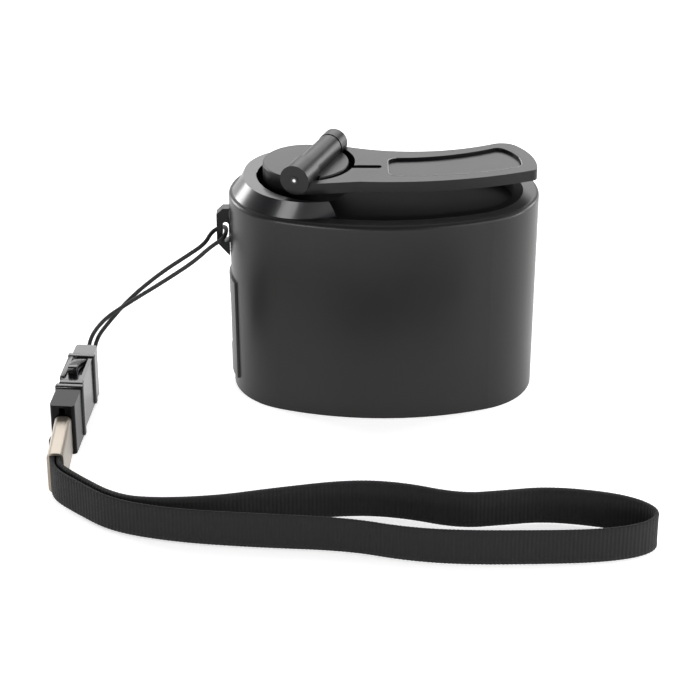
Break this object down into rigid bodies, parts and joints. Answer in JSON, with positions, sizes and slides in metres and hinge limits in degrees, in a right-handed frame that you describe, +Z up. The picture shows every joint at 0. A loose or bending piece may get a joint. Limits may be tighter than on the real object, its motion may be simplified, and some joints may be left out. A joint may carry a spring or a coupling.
{
  "type": "hand crank phone charger",
  "caption": "Pocket hand-crank phone charger: oval black housing, folding crank arm on a hub, end-mounted charging socket, and a buckled webbing wrist strap on a cord.",
  "frame": {"origin": "centre of the housing's flat base", "axes": "+Z up out of the base, +X towards the free end of the folded crank arm, +Y to the back; the strap lug and socket face -X"},
  "size_m": [0.1214, 0.096, 0.0556],
  "materials": {
    "housing_black": "satin",
    "cover_black": "matte",
    "cap_black": "satin",
    "collar_black": "gloss",
    "crank_grey": "satin",
    "screw_steel": "satin",
    "shaft_steel": "satin",
    "bush_brass": "satin",
    "gear_plastic": "satin",
    "plate_steel": "satin",
    "washer_rubber": "matte",
    "can_steel": "satin",
    "core_iron": "satin",
    "coil_copper": "satin",
    "magnet_grey": "matte",
    "socket_steel": "satin",
    "tongue_plastic": "matte",
    "lamp_clear": "gloss",
    "board_green": "satin",
    "component_dark": "matte",
    "cord_black": "matte",
    "buckle_black": "gloss",
    "crimp_nickel": "satin",
    "webbing_black": "matte"
  },
  "bodies": {
    "housing": {"axle_a": "shaft_steel", "axle_b": "shaft_steel", "base_cover": "cover_black", "base_screws": "screw_steel", "body_shell": "housing_black", "buckle_plug": "buckle_black", "buckle_socket": "buckle_black", "capacitor": "component_dark", "charge_lamp": "lamp_clear", "choke": "component_dark", "circuit_board": "board_green", "collar": "collar_black", "converter_chip": "component_dark", "crimp": "crimp_nickel", "gear_plate": "plate_steel", "generator_can": "can_steel", "generator_cover": "plate_steel", "generator_screws": "screw_steel", "generator_terminals": "bush_brass", "hub_bush": "bush_brass", "plate_washers": "washer_rubber", "port_panel": "housing_black", "rotor_bushes": "bush_brass", "stator_coils": "coil_copper", "stator_core": "core_iron", "strap_cord": "cord_black", "strap_lug": "housing_black", "top_cap": "cap_black", "usb_shell": "socket_steel", "usb_tongue": "tongue_plastic", "webbing_tab": "webbing_black", "wrist_strap": "webbing_black"},
    "crank": {"crank_hub": "crank_grey", "hub_shaft": "shaft_steel", "hub_clip": "screw_steel", "crank_gear": "gear_plastic"},
    "arm": {"crank_arm": "crank_grey", "hinge_pin": "screw_steel"},
    "gear_a": {"compound_gear_a": "gear_plastic"},
    "gear_b": {"compound_gear_b": "gear_plastic"},
    "rotor": {"rotor_shaft": "shaft_steel", "rotor_magnet": "magnet_grey", "rotor_pinion": "gear_plastic"},
    "upper_release": {"release_arm_upper": "buckle_black"},
    "lower_release": {"release_arm_lower": "buckle_black"}
  },
  "joints": [
    {"name": "crank_spin", "type": "hinge", "parent": "housing", "child": "crank", "pos_m": [-0.0165, 0, 0.045], "axis": [0, 0, 1], "continuous": true},
    {"name": "arm_fold", "type": "hinge", "parent": "crank", "child": "arm", "pos_m": [-0.01418, -0.00093, 0.0524], "axis": [-0.3714, -0.9285, 0], "range_deg": [0, 180]},
    {"name": "gear_a_spin", "type": "hinge", "parent": "housing", "child": "gear_a", "pos_m": [-0.0015, 0, 0.036], "axis": [0, 0, 1], "continuous": true},
    {"name": "gear_b_spin", "type": "hinge", "parent": "housing", "child": "gear_b", "pos_m": [0.00861, 0.00433, 0.034], "axis": [0, 0, 1], "continuous": true},
    {"name": "rotor_spin", "type": "hinge", "parent": "housing", "child": "rotor", "pos_m": [0.0165, 0, 0.02], "axis": [0, 0, 1], "continuous": true},
    {"name": "upper_squeeze", "type": "hinge", "parent": "housing", "child": "upper_release", "pos_m": [-0.0658, -0.02571, 0.0091], "axis": [0.9954, -0.0958, 0], "range_deg": [-8, 0], "stiffness_Nm_per_rad": 0.04},
    {"name": "lower_squeeze", "type": "hinge", "parent": "housing", "child": "lower_release", "pos_m": [-0.0658, -0.02571, 0.0023], "axis": [0.9954, -0.0958, 0], "range_deg": [0, 8]}
  ],
  "couplings": [
    {"joint": "gear_a_spin", "follows": "crank_spin", "ratio": -4},
    {"joint": "gear_b_spin", "follows": "crank_spin", "ratio": 10.667},
    {"joint": "rotor_spin", "follows": "crank_spin", "ratio": -27.733},
    {"joint": "lower_squeeze", "follows": "upper_squeeze", "ratio": -1}
  ]
}
